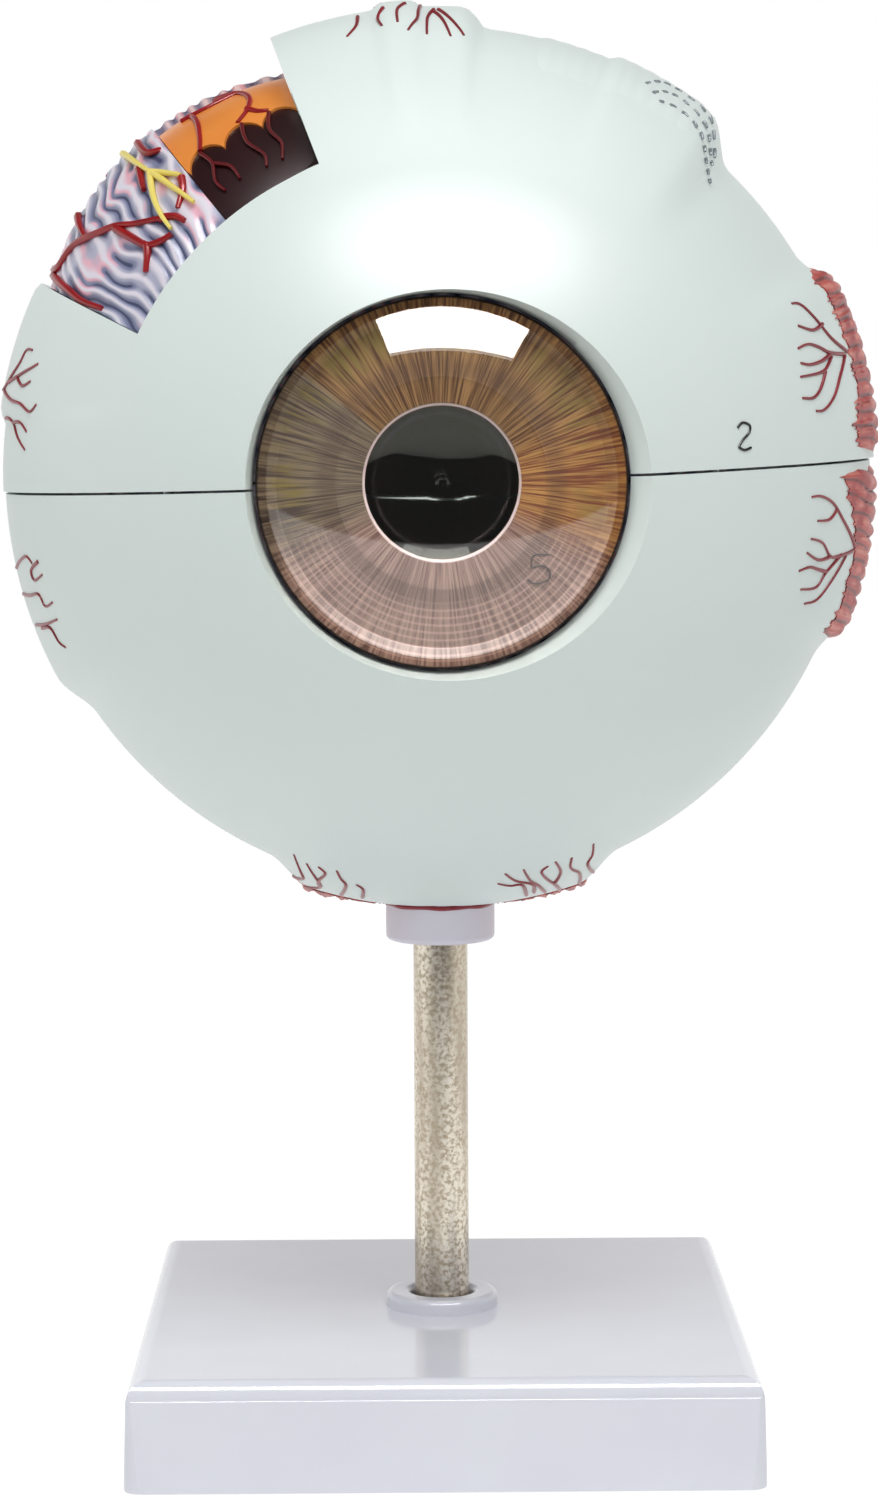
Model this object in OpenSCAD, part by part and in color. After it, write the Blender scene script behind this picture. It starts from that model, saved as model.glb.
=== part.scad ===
// Eye anatomy model, six times life size, that opens at its equator and stands on a square base.
// Millimetres, +Z up. The origin is the middle of the base's underside, and the eye looks along -Y.
// "Polar" angles are counted from the line of sight, and "azimuth" angles round it, from +X up to +Z.

/* [Base] */
// Width and depth of the base where it stands
base_w = 105; // [90:1:130]
// Height of the base
base_h = 18; // [15:0.5:26]
// Wall thickness of the base moulding
base_wall = 2.4; // [1.6:0.1:3.4]
// How far each side of the base leans in from bottom to top
base_draft = 0.6; // [0:0.1:1.4]
// Radius of the base's top edges
base_edge_r = 3; // [1:0.25:4.5]
// Radius of the base's upright corners
base_corner_r = 3; // [1:0.25:6]
// Thickness of the stiffening ribs under the base
base_rib = 1.8; // [1.2:0.1:3]
// Radius of the screw boss under the base
boss_r = 8.5; // [7:0.25:12]

/* [Post] */
// Diameter of the steel post
post_d = 9.5; // [7:0.25:12]
// Bare length of the post between its foot ring and the collar
post_bare = 62.3; // [40:0.1:110]
// Radial play of the collar on the post
post_play = 0.05; // [0.02:0.01:0.1]
// Outer diameter of the ring round the post's foot
foot_ring_d = 19.5; // [17:0.25:26]
// Height of the ring round the post's foot
foot_ring_h = 2.6; // [1.8:0.1:4]
// Gap between that ring and the post
foot_ring_gap = 0.7; // [0.2:0.1:1.2]
// Shank diameter of the screw that holds the post
screw_d = 5; // [3:0.5:5.5]
// Depth of the screw in the post
screw_grip = 12; // [8:1:24]

/* [Collar] */
// Diameter of the collar under the eye
collar_d = 19; // [17.5:0.25:22]
// Height of the collar
collar_h = 7.5; // [5:0.25:12]
// Diameter of the collar's spigot in the eye
spigot_d = 14; // [13.5:0.25:15.5]
// Thickness of the collar above the post's end
collar_cap = 1.2; // [0.8:0.1:1.6]

/* [Eyeball] */
// Outer radius of the white coat
eye_r = 72; // [66:0.5:78]
// Wall thickness of the white coat
sclera_t = 3.4; // [2.8:0.1:3.8]
// Wall thickness of the vessel coat
choroid_t = 2.2; // [1.6:0.1:2.6]
// Wall thickness of the retina
retina_t = 1.2; // [0.8:0.1:1.6]
// Play between nested pieces that lift apart
nest_gap = 0.4; // [0.3:0.05:0.7]
// Open line between the upper and the lower half
seam_gap = 0.5; // [0.3:0.05:0.8]
// How far the flat under the eye lies below the globe
seat_drop = 1.7; // [1:0.1:3]
// Diameter of the locating pins in the seam
pin_d = 1.6; // [1:0.1:1.8]
// Length of a locating pin above and below the seam
pin_len = 5; // [3:0.5:8]

/* [Window] */
// Azimuth at which the window in the white coat starts
window_from = 110.5; // [104:0.5:118]
// Azimuth at which that window ends
window_to = 156.5; // [140:0.5:164]
// Polar angle of the window's front edge
window_front = 54; // [50:0.5:58]
// Polar angle of the window's back edge
window_back = 114; // [104:1:125]
// Azimuth at which the cut in the vessel coat ends
vessel_cut_to = 130.2; // [124:0.5:136]
// Polar angle of the scalloped edge of the retina
ora_polar = 66; // [63:0.5:72]
// Number of scallops round that edge
ora_scallops = 48; // [40:4:60]

/* [Front] */
// Radius of the cornea's edge
cornea_edge_r = 29.2; // [27.5:0.1:30.5]
// Radius of curvature of the cornea's outside
cornea_curve_r = 46.8; // [40:0.2:56]
// Wall thickness of the cornea
cornea_t = 1.6; // [1:0.1:2.4]
// Straight wall at the cornea's foot
cornea_skirt = 1.6; // [0.8:0.1:3]
// Radius of the pupil
pupil_r = 12; // [9:0.25:15]
// Depth of the iris from its back to its rim
iris_depth = 3; // [2.4:0.1:3.6]
// Width of the bevel round the front opening
bevel_w = 2; // [1:0.1:3]
// How far the bevel's centre lies to the temple side
bevel_shift = 0.7; // [0:0.1:1]

/* [Lens] */
// Radius of the lens
lens_r = 25; // [20:0.5:25.4]
// Radius of curvature of the lens's front
lens_front_r = 60; // [45:1:80]
// Radius of curvature of the lens's back
lens_back_r = 36; // [32:1:46]
// Height of the lens's straight edge
lens_edge_t = 3.6; // [2:0.2:5]
// Wall thickness of the hollow vitreous body
vitreous_t = 1.8; // [1.2:0.1:3]
// Number of folds round the ciliary ring
ciliary_folds = 44; // [36:4:60]
// Thickness of a ciliary fold
ciliary_fold_t = 1.4; // [0.8:0.1:1.8]

/* [Muscles] */
// Thickness at the globe's side of the upper part of the lateral rectus
lateral_upper_t = 4.6; // [3:0.1:6]
// Thickness at the globe's side of its lower part
lateral_lower_t = 4.0; // [2.5:0.1:6]
// Thickness at the globe's side of the upper part of the medial rectus
medial_upper_t = 5.0; // [3:0.1:6]
// Thickness at the globe's side of its lower part
medial_lower_t = 3.2; // [2:0.1:6]
// Thickness at the globe's top of the superior rectus
superior_t = 7.8; // [5:0.1:9]
// Thickness at the globe's bottom of the inferior rectus
inferior_t = 3.2; // [2:0.1:4.5]
// Thickness of the oblique muscles
oblique_t = 5.2; // [3:0.1:6.5]
// Depth of the grooves between the muscle fibres
fibre_groove = 0.6; // [0.2:0.05:0.9]

/* [Optic nerve] */
// Angle between the optic nerve and the line of sight
nerve_angle = 15; // [8:1:20]
// Outer radius of the nerve's sheath
sheath_r = 11.5; // [10:0.25:14]
// Radius of the nerve
nerve_r = 8.4; // [6.5:0.1:9]
// Length of the nerve behind the globe
nerve_len = 22; // [12:1:34]
// Radius of the nerve's central artery and vein
central_vessel_r = 1.3; // [0.8:0.1:1.8]

/* [Hidden] */
$fn = 96;

far = 200;          // reach of a cutting block, beyond every piece
past = 1;           // how far a cutter runs past the face it cuts

// Stand, from the table up
top_plate_z = base_h - base_wall;
boss_z = base_h * 0.5;
washer_t = 1.2;
screw_head_h = 3;
ring_top_z = base_h + foot_ring_h;
collar_z = ring_top_z + post_bare;
seat_z = collar_z + collar_h;
eye_z = seat_z + seat_drop + eye_r;
spigot_top_z = eye_z - sqrt(pow(eye_r - sclera_t, 2) - pow(spigot_d / 2, 2)) - 0.3;
post_top_z = spigot_top_z - collar_cap - post_play;
post_r = post_d / 2;

// Nested coats, from the outside in
sclera_in = eye_r - sclera_t;
choroid_out = sclera_in - nest_gap;
choroid_in = choroid_out - choroid_t;
retina_in = choroid_in - retina_t;
vitreous_r = retina_in - nest_gap * 1.5;

// Depths along the line of sight, counted from the eye's centre towards the cornea
opening_r = cornea_edge_r + nest_gap;
choroid_front = sqrt(pow(choroid_in, 2) - pow(cornea_edge_r - 1.7, 2));
iris_back = choroid_front + nest_gap;
iris_rim = iris_back + iris_depth;
cornea_centre = iris_rim + cornea_skirt - sqrt(pow(cornea_curve_r, 2) - pow(cornea_edge_r, 2));
lens_sag_front = lens_front_r - sqrt(pow(lens_front_r, 2) - pow(lens_r, 2));
lens_sag_back = lens_back_r - sqrt(pow(lens_back_r, 2) - pow(lens_r, 2));
lens_front = choroid_front - 1.2;
lens_mid = lens_front - lens_sag_front;
lens_back = lens_mid - lens_edge_t - lens_sag_back;
ciliary_r = lens_r + 1;
fold_rise = 1.4;
ciliary_front = choroid_front - 1;
skirt_front = choroid_front - 12.2;
vitreous_front = skirt_front - 0.4 - nest_gap * 2;
lens_pocket_r = lens_back_r + nest_gap * 1.5;

// Seam pins stand in the middle of the white coat's wall, at these angles in the seam
pin_angles = [38, 142, 232, 308];
pin_ring_r = eye_r - sclera_t / 2;
pin_play = 0.15;

// Muscles
tendon_t = 0.6;
tendon_polar = 58;
superior_tendon_polar = 45;
belly_end_polar = 138;
inferior_end_polar = 130;
medial_half_deg = 23.5;
side_fibres = 11;
narrow_fibres = 5;

ora_scallop_r = choroid_in * sin(ora_polar) * PI / ora_scallops * 0.92;

// ---------------------------------------------------------------- shared shapes

module at_eye() translate([0, 0, eye_z]) children();

// Turns a piece that was drawn along +Z so that it lies along the line of sight
module along_sight() rotate([90, 0, 0]) children();

// The part of a piece that belongs to one half of the opened eye
module half(upper) {
    intersection() {
        children();
        translate([-far, -far, upper ? seam_gap / 2 : -seam_gap / 2 - far]) cube([2 * far, 2 * far, far]);
    }
}

module coat(r_out, r_in) {
    difference() {
        sphere(r = r_out);
        sphere(r = r_in);
    }
}

// A block of space between two azimuths and two polar angles, for windows
module polar_block(az_from, az_to, polar_from, polar_to) {
    near_r = eye_r * 0.7;
    far_r = eye_r * 1.4;
    along_sight() rotate([0, 0, az_from]) rotate_extrude(angle = az_to - az_from)
        polygon([
            [near_r * sin(polar_from), near_r * cos(polar_from)],
            [far_r * sin(polar_from), far_r * cos(polar_from)],
            [far_r * sin(polar_to), far_r * cos(polar_to)],
            [near_r * sin(polar_to), near_r * cos(polar_to)]
        ]);
}

// ---------------------------------------------------------------- stand

// Side view of the base: leaning sides and rounded top edges
module base_side(w, h, r) {
    lean = base_draft / base_h;
    top = w / 2 - lean * h;
    polygon([[-w / 2, 0], [w / 2, 0], [top + lean * r, h - r], [top - r, h], [r - top, h], [-top - lean * r, h - r]]);
    for (side = [-1, 1]) translate([side * (top - r), h - r]) circle(r = r);
}

module base_block(w, h, edge_r, corner_r) {
    intersection() {
        rotate([90, 0, 0]) translate([0, 0, -w / 2 - past]) linear_extrude(w + 2 * past) base_side(w, h, edge_r);
        rotate([90, 0, 90]) translate([0, 0, -w / 2 - past]) linear_extrude(w + 2 * past) base_side(w, h, edge_r);
        linear_extrude(h) {
            square([w - 2 * corner_r, w], center = true);
            square([w, w - 2 * corner_r], center = true);
            for (x = [-1, 1], y = [-1, 1])
                translate([x * (w / 2 - corner_r), y * (w / 2 - corner_r)]) circle(r = corner_r);
        }
    }
}

module base_shell() {
    inner_w = base_w - 2 * base_wall;
    inner_corner_r = max(base_corner_r - base_wall, 0.5);
    inner_edge_r = max(base_edge_r - base_wall, 0.5);
    color("white") difference() {
        union() {
            difference() {
                base_block(base_w, base_h, base_edge_r, base_corner_r);
                translate([0, 0, -past])
                    base_block(inner_w, top_plate_z + past, inner_edge_r, inner_corner_r);
            }
            // A cross of ribs ties the boss to the walls, and stays clear of the table
            for (turn = [0, 90]) rotate([0, 0, turn])
                translate([-inner_w / 2 - base_wall / 2, -base_rib / 2, base_h * 0.35])
                    cube([inner_w + base_wall, base_rib, base_h * 0.65 - base_wall / 2]);
            translate([0, 0, boss_z]) cylinder(r = boss_r, h = top_plate_z - boss_z + base_wall / 2);
        }
        translate([0, 0, -past]) cylinder(d = screw_d + 0.4, h = base_h + 2 * past);
        // Room for the washer and the screw's head among the ribs
        translate([0, 0, -past]) cylinder(r = boss_r - 1, h = boss_z + past);
    }
}

// Round-edged ring that dresses the foot of the post
module foot_ring() {
    inner = post_r + foot_ring_gap;
    outer = foot_ring_d / 2;
    round_r = foot_ring_h * 0.42;
    color("white") translate([0, 0, base_h]) rotate_extrude() {
        translate([inner, 0]) square([outer - inner, foot_ring_h - round_r]);
        translate([inner + round_r, 0]) square([outer - inner - 2 * round_r, foot_ring_h]);
        for (x = [inner + round_r, outer - round_r]) translate([x, foot_ring_h - round_r]) circle(r = round_r);
    }
}

module post() {
    chamfer = 0.8;
    color("silver") difference() {
        translate([0, 0, base_h]) rotate_extrude()
            polygon([
                [0, 0], [post_r, 0], [post_r, post_top_z - base_h - chamfer],
                [post_r - chamfer, post_top_z - base_h], [0, post_top_z - base_h]
            ]);
        translate([0, 0, base_h - past]) cylinder(d = screw_d, h = screw_grip + past + 1);
    }
}

module post_washer() {
    color("gainsboro") translate([0, 0, boss_z - washer_t]) difference() {
        cylinder(r = boss_r - 1.5, h = washer_t);
        translate([0, 0, -past]) cylinder(d = screw_d + 0.4, h = washer_t + 2 * past);
    }
}

module post_screw() {
    head_z = boss_z - washer_t - screw_head_h;
    color("silver") difference() {
        union() {
            translate([0, 0, head_z]) cylinder(d = screw_d * 1.8, h = screw_head_h);
            translate([0, 0, head_z + past]) cylinder(d = screw_d, h = base_h + screw_grip - head_z - past);
        }
        // Hexagon socket in the head
        translate([0, 0, head_z - past]) cylinder(d = screw_d * 0.9, h = screw_head_h * 0.6 + past, $fn = 6);
    }
}

// ---------------------------------------------------------------- white coat

module collar() {
    round_r = 0.9;
    color("lavender") difference() {
        translate([0, 0, collar_z]) rotate_extrude() {
            translate([0, round_r]) square([collar_d / 2, collar_h - round_r]);
            square([collar_d / 2 - round_r, collar_h]);
            translate([collar_d / 2 - round_r, round_r]) circle(r = round_r);
            square([spigot_d / 2, spigot_top_z - collar_z]);
        }
        translate([0, 0, collar_z - past])
            cylinder(r = post_r + post_play, h = spigot_top_z - collar_cap - collar_z + past);
    }
}

// The bevelled round opening in which the cornea sits
module front_opening() {
    bevel_start = sqrt(pow(eye_r, 2) - pow(opening_r + bevel_w, 2)) - bevel_w;
    along_sight() {
        translate([0, 0, choroid_front - 12]) cylinder(r = opening_r, h = 40);
        translate([bevel_shift, 0, bevel_start])
            cylinder(r1 = opening_r - bevel_shift, r2 = opening_r - bevel_shift + 12, h = 10);
    }
}

module toward_nerve() rotate([0, 0, nerve_angle]) rotate([-90, 0, 0]) children();

module nerve_hole(r) toward_nerve() cylinder(r = r, h = eye_r + nerve_len + 40);

module seam_pin_set(r, len) {
    for (a = pin_angles) rotate([0, 0, a]) translate([pin_ring_r, 0, -len]) cylinder(r = r, h = 2 * len);
}

module sclera_lower() {
    color("mintcream") at_eye() difference() {
        union() {
            half(false) coat(eye_r, sclera_in);
            // Flat seat that the collar is glued to
            difference() {
                translate([0, 0, -eye_r - seat_drop]) cylinder(r = collar_d / 2 + 1.5, h = seat_drop + sclera_t);
                sphere(r = sclera_in + 0.01);
            }
        }
        front_opening();
        nerve_hole(nerve_r);
        seam_pin_set(pin_d / 2, pin_len);
        translate([0, 0, -eye_r - seat_drop - past]) cylinder(d = spigot_d, h = seat_drop + sclera_t + 8);
    }
}

module sclera_upper() {
    color("mintcream") at_eye() difference() {
        half(true) coat(eye_r, sclera_in);
        front_opening();
        nerve_hole(nerve_r + nest_gap);
        seam_pin_set(pin_d / 2 + pin_play, pin_len + pin_play);
        polar_block(window_from, window_to, window_front, window_back);
    }
}

module seam_pins() {
    color("silver") at_eye() seam_pin_set(pin_d / 2, pin_len);
}

// ---------------------------------------------------------------- muscles

// Outline of a muscle across its fibres: the globe below, leaning flanks at both edges
module strap_section(half_deg) {
    shoulder_r = eye_r + 6;
    flank = 4;
    corner = [[half_deg + flank, eye_r * 0.9], [half_deg + flank, eye_r], [half_deg - flank, shoulder_r],
        [half_deg - flank, eye_r * 1.4]];
    difference() {
        polygon([
            for (c = corner) [cos(c[0]) * c[1], -sin(c[0]) * c[1]],
            for (i = [3 : -1 : 0]) [cos(corner[i][0]) * corner[i][1], sin(corner[i][0]) * corner[i][1]]
        ]);
        circle(r = eye_r);
    }
}

// A flat muscle on the globe, from its tendon to its cut end, with its middle in the XY plane.
// "t" is its thickness over the globe's widest ring. Its outside is a sphere that is set back,
// so it thickens steadily from the tendon to the cut end.
module strap(half_deg, t, tendon_deg, end_deg, fibres, start_t = tendon_t) {
    outer_r = eye_r + t;
    set_back = (t - start_t) / cos(tendon_deg);
    difference() {
        intersection() {
            rotate([0, 0, tendon_deg - 90]) rotate_extrude(angle = end_deg - tendon_deg) strap_section(half_deg);
            translate([0, set_back, 0]) sphere(r = outer_r);
        }
        translate([0, set_back, 0]) rotate_extrude()
            for (i = [0 : fibres - 1]) {
                a = (i + 0.5 - fibres / 2) * 2 * (half_deg - 3) / fibres;
                translate([cos(a) * (outer_r + fibre_groove / 2), sin(a) * (outer_r + fibre_groove / 2)])
                    circle(r = fibre_groove * 1.5, $fn = 24);
            }
    }
}

module lateral_rectus(t) rotate([0, -2, 0]) strap(24, t, tendon_polar, belly_end_polar, side_fibres);

module medial_rectus(t) mirror([1, 0, 0]) rotate([0, 4, 0])
    strap(medial_half_deg, t, tendon_polar, belly_end_polar, side_fibres);

module lateral_rectus_upper() { color("indianred") at_eye() half(true) lateral_rectus(lateral_upper_t); }
module lateral_rectus_lower() { color("indianred") at_eye() half(false) lateral_rectus(lateral_lower_t); }
module medial_rectus_upper() { color("indianred") at_eye() half(true) medial_rectus(medial_upper_t); }
module medial_rectus_lower() { color("indianred") at_eye() half(false) medial_rectus(medial_lower_t); }

module superior_rectus() {
    color("indianred") at_eye() rotate([0, -96, 0])
        strap(11, superior_t, superior_tendon_polar, belly_end_polar, narrow_fibres);
}

// Its underside is cut flat, level with the seat of the collar, and it leaves room for that seat
module inferior_rectus() {
    color("indianred") at_eye() difference() {
        rotate([0, 90, 0]) strap(20, inferior_t, tendon_polar, inferior_end_polar, side_fibres);
        translate([-far, -far, -eye_r - seat_drop - far]) cube([2 * far, 2 * far, far]);
        translate([0, 0, -eye_r - 20]) cylinder(r = collar_d / 2 + 1.5, h = 40);
    }
}

// Its tendon comes from under the superior rectus and fans out to the temple side, turning back
module superior_oblique() {
    color("snow") at_eye() rotate([0, 0, 12]) along_sight() rotate([0, 0, 85])
        strap(13, oblique_t, 50, 85, narrow_fibres, 3);
}

// The short end that joins the globe behind the lateral rectus, on the lower half
module inferior_oblique() {
    color("indianred") at_eye() rotate([0, 0, 69]) rotate([0, 23, 0]) rotate([-35, 0, 0])
        strap(7, oblique_t * 0.8, 76, 103, narrow_fibres, 2);
}

// ---------------------------------------------------------------- optic nerve

module nerve_sheath() {
    flare = 3;
    color("wheat") at_eye() difference() {
        toward_nerve() translate([0, 0, eye_r - 3]) {
            cylinder(r = sheath_r, h = nerve_len);
            cylinder(r1 = sheath_r + flare, r2 = sheath_r, h = 9);
        }
        sphere(r = eye_r + 0.3);
        nerve_hole(nerve_r);
    }
}

module central_vessel(side, r, extra) {
    toward_nerve() translate([side * nerve_r * 0.3, 0, eye_r + 4]) cylinder(r = r, h = nerve_len + extra);
}

module optic_nerve() {
    color("khaki") at_eye() difference() {
        toward_nerve() cylinder(r = nerve_r, h = eye_r + nerve_len);
        sphere(r = sclera_in);
        for (side = [-1, 1]) central_vessel(side, central_vessel_r, 10);
    }
}

module central_artery() { color("crimson") at_eye() central_vessel(-1, central_vessel_r, -1.5); }
module central_vein() { color("royalblue") at_eye() central_vessel(1, central_vessel_r, -1.5); }

// ---------------------------------------------------------------- vessel coat, retina and ciliary ring

module in_front_of(depth) translate([-far, -far - depth, -far]) cube([2 * far, far, 2 * far]);

module vessel_window() polar_block(window_from - 1, vessel_cut_to, window_front - 2, window_back - 3);

module choroid_half(upper) {
    difference() {
        half(upper) coat(choroid_out, choroid_in);
        in_front_of(choroid_front);
        if (upper) vessel_window();
    }
}

// Everything in front of the retina's scalloped edge
module ora_space(upper) {
    along_sight() rotate_extrude()
        polygon([[0, 0], [far * sin(ora_polar), far * cos(ora_polar)], [0, far]]);
    for (i = [0 : ora_scallops / 2 - 1])
        along_sight() rotate([0, 0, (i + 0.5) * 360 / ora_scallops + (upper ? 0 : 180)])
            rotate([0, ora_polar, 0]) translate([0, 0, retina_in - 3])
                cylinder(r = ora_scallop_r, h = retina_t + 6, $fn = 32);
}

module retina_half(upper) {
    difference() {
        half(upper) coat(choroid_in, retina_in);
        ora_space(upper);
    }
}

// Section of the ciliary body: a wedge on the inside of the vessel coat
module ciliary_section() {
    inner = ciliary_r + fold_rise;
    intersection() {
        circle(r = choroid_in);
        polygon([
            [inner, ciliary_front], [inner, ciliary_front - 6], [inner + 5, skirt_front + 3],
            [inner + 19, skirt_front], [far, skirt_front], [far, ciliary_front]
        ]);
    }
}

// One fold: it stands proud of the wedge on its inner and rear faces, and roots inside it
module ciliary_fold() {
    fold_deg = 2 * asin(ciliary_fold_t / 2 / ciliary_r);
    rotate([0, 0, -fold_deg / 2]) rotate_extrude(angle = fold_deg)
        polygon([
            [ciliary_r, ciliary_front - 2], [ciliary_r, ciliary_front - 6.5],
            [ciliary_r + 5.5, skirt_front + 1.4], [ciliary_r + 14.5, skirt_front - 0.4],
            [ciliary_r + 16.5, skirt_front + 1.2], [ciliary_r + 4, ciliary_front - 2]
        ]);
}

module ciliary_half(upper) {
    half(upper) along_sight() {
        rotate_extrude() ciliary_section();
        for (i = [0 : ciliary_folds / 2 - 1])
            rotate([0, 0, (i + 0.5) * 360 / ciliary_folds + (upper ? 0 : 180)]) ciliary_fold();
    }
}

// Smooth dark skirt behind the ciliary ring, whose rear edge fills the scallops of the retina
module ciliary_skirt_half(upper) {
    difference() {
        half(upper) intersection() {
            coat(choroid_in, retina_in);
            ora_space(upper);
        }
        in_front_of(skirt_front);
    }
}

module choroid_lower() { color("mistyrose") at_eye() choroid_half(false); }
module choroid_upper() { color("mistyrose") at_eye() choroid_half(true); }
module retina_lower() { color("darkorange") at_eye() retina_half(false); }
module retina_upper() { color("darkorange") at_eye() retina_half(true); }
module ciliary_lower() { color("saddlebrown") at_eye() ciliary_half(false); }
module ciliary_upper() { color("saddlebrown") at_eye() ciliary_half(true); }
module ciliary_skirt_lower() { color("maroon") at_eye() ciliary_skirt_half(false); }
module ciliary_skirt_upper() { color("maroon") at_eye() ciliary_skirt_half(true); }

// ---------------------------------------------------------------- clear parts and iris

// Clear bowl of the vitreous body, open at the front
module vitreous_bowl() {
    color("lightcyan", 0.4) at_eye() along_sight() rotate_extrude() intersection() {
        difference() {
            circle(r = vitreous_r);
            circle(r = vitreous_r - vitreous_t);
        }
        translate([0, -far]) square([far, far + vitreous_front - vitreous_t]);
    }
}

// Clear face that closes the bowl, with the pocket behind the lens
module vitreous_face() {
    color("lightcyan", 0.4) at_eye() along_sight() rotate_extrude() difference() {
        union() {
            intersection() {
                circle(r = vitreous_r);
                translate([0, vitreous_front - vitreous_t]) square([far, vitreous_t]);
            }
            intersection() {
                translate([0, lens_back + lens_back_r]) circle(r = lens_pocket_r + vitreous_t);
                translate([0, lens_back - 10]) square([far, vitreous_front - lens_back + 10]);
            }
        }
        translate([0, lens_back + lens_back_r]) circle(r = lens_pocket_r);
        translate([-far, -far]) square([far, 2 * far]);
    }
}

module lens() {
    color("azure", 0.5) at_eye() along_sight() rotate_extrude() intersection() {
        translate([0, lens_front - lens_front_r]) circle(r = lens_front_r, $fn = 180);
        translate([0, lens_back + lens_back_r]) circle(r = lens_back_r, $fn = 180);
        translate([0, lens_back - past]) square([lens_r, lens_front - lens_back + 2 * past]);
    }
}

module cornea() {
    color("azure", 0.3) at_eye() along_sight() rotate_extrude() {
        translate([cornea_edge_r - cornea_t, iris_rim]) square([cornea_t, cornea_skirt]);
        intersection() {
            translate([0, cornea_centre]) difference() {
                circle(r = cornea_curve_r, $fn = 180);
                circle(r = cornea_curve_r - cornea_t, $fn = 180);
            }
            translate([0, iris_rim + cornea_skirt - cornea_t]) square([cornea_edge_r, cornea_curve_r]);
        }
    }
}

module iris() {
    collarette = [pupil_r + 4.5, iris_rim - 0.5];
    color("peru") at_eye() along_sight() rotate_extrude()
        polygon([
            [pupil_r, iris_back], [pupil_r, iris_rim - 1.5], [pupil_r + 0.5, iris_rim - 1],
            collarette, [cornea_edge_r - cornea_t - 2, iris_rim - 1.3], [cornea_edge_r - cornea_t, iris_rim],
            [cornea_edge_r, iris_rim], [cornea_edge_r, iris_back]
        ]);
}

// ---------------------------------------------------------------- nodes

base_shell();
foot_ring();
post();
post_screw();
post_washer();
collar();
sclera_lower();
seam_pins();
lateral_rectus_lower();
medial_rectus_lower();
inferior_rectus();
inferior_oblique();
nerve_sheath();
optic_nerve();
central_artery();
central_vein();
sclera_upper();
superior_rectus();
superior_oblique();
lateral_rectus_upper();
medial_rectus_upper();
choroid_lower();
retina_lower();
ciliary_lower();
ciliary_skirt_lower();
choroid_upper();
retina_upper();
ciliary_upper();
ciliary_skirt_upper();
vitreous_bowl();
vitreous_face();
lens();
cornea();
iris();
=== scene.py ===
# Enlarged eye anatomy model that opens at its seam, on a plated post and a square moulded base.
# Metres, +Z up. The eye looks along -Y and its temple side is +X. "Azimuth" angles go round the line
# of sight, from +X up to +Z, and "polar" angles are counted from the line of sight, in degrees.
import math

import bmesh
import bpy
from mathutils import Matrix, Vector, noise


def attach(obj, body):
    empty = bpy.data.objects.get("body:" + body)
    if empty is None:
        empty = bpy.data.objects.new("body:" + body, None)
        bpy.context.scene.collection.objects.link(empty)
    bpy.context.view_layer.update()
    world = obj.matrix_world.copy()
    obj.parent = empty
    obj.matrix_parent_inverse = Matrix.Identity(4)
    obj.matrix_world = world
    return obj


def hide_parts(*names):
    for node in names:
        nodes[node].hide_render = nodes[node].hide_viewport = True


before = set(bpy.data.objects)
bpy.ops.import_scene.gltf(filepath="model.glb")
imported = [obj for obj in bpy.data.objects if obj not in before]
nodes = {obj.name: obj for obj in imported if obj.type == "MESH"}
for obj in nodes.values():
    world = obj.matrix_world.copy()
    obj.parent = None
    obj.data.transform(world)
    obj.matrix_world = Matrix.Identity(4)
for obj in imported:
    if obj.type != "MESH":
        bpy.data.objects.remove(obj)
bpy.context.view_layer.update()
MM = 0.001

# ------------------------------------------------------------------ camera
# The camera stands 64 cm in front of the eye, level with its upper part, and looks down 4 degrees.
# Its shift brings the base into the frame.
camera_back = 637 * MM
camera_height = 178.3 * MM
camera_pitch = math.radians(4)
camera_side = math.radians(-0.53)
camera_roll = math.radians(0.27)
axis_above_middle = 101.7
photo_height = 1500

camera_data = bpy.data.cameras.new("camera")
camera_data.lens = 88
camera_data.shift_y = -axis_above_middle / photo_height
camera = bpy.data.objects.new("camera", camera_data)
bpy.context.scene.collection.objects.link(camera)
camera.matrix_world = (
    Matrix.Rotation(camera_side, 4, "Z")
    @ Matrix.Translation((0, -camera_back, camera_height))
    @ Matrix.Rotation(math.pi / 2 - camera_pitch, 4, "X")
    @ Matrix.Rotation(-camera_roll, 4, "Z")
)
bpy.context.scene.camera = camera
bpy.context.scene.view_settings.view_transform = "Standard"


# ------------------------------------------------------------------ floor and light
# A white table that keeps a faint shadow, white all round, and one long softbox over the camera.
# The softbox is a lamp for the light and a bright card for its reflection.
def colour(code):
    """A #rrggbb colour as a linear one."""
    parts = [int(code[i:i + 2], 16) / 255 for i in (1, 3, 5)]
    return (*[p / 12.92 if p <= 0.04045 else ((p + 0.055) / 1.055) ** 2.4 for p in parts], 1)


def add(owner, kind, inputs=None, **settings):
    """Adds a node and gives its outputs. An input takes a value or another node's output."""
    node = owner.node_tree.nodes.new(kind)
    for name, value in settings.items():
        setattr(node, name, value)
    for socket, value in (inputs or {}).items():
        if isinstance(value, bpy.types.NodeSocket):
            owner.node_tree.links.new(value, node.inputs[socket])
        else:
            node.inputs[socket].default_value = value
    return node.outputs


def new_material(name, **finish):
    """A material and its Principled shader, with the finish set on the shader's own sockets."""
    material = bpy.data.materials.new(name)
    material.use_nodes = True
    shader = material.node_tree.nodes["Principled BSDF"]
    for socket, value in finish.items():
        shader.inputs[socket.replace("_", " ")].default_value = value
    return material, shader


def join(shader, **outputs):
    """Links other nodes' outputs to the shader's sockets."""
    for socket, output in outputs.items():
        shader.id_data.links.new(output, shader.inputs[socket.replace("_", " ")])


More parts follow.
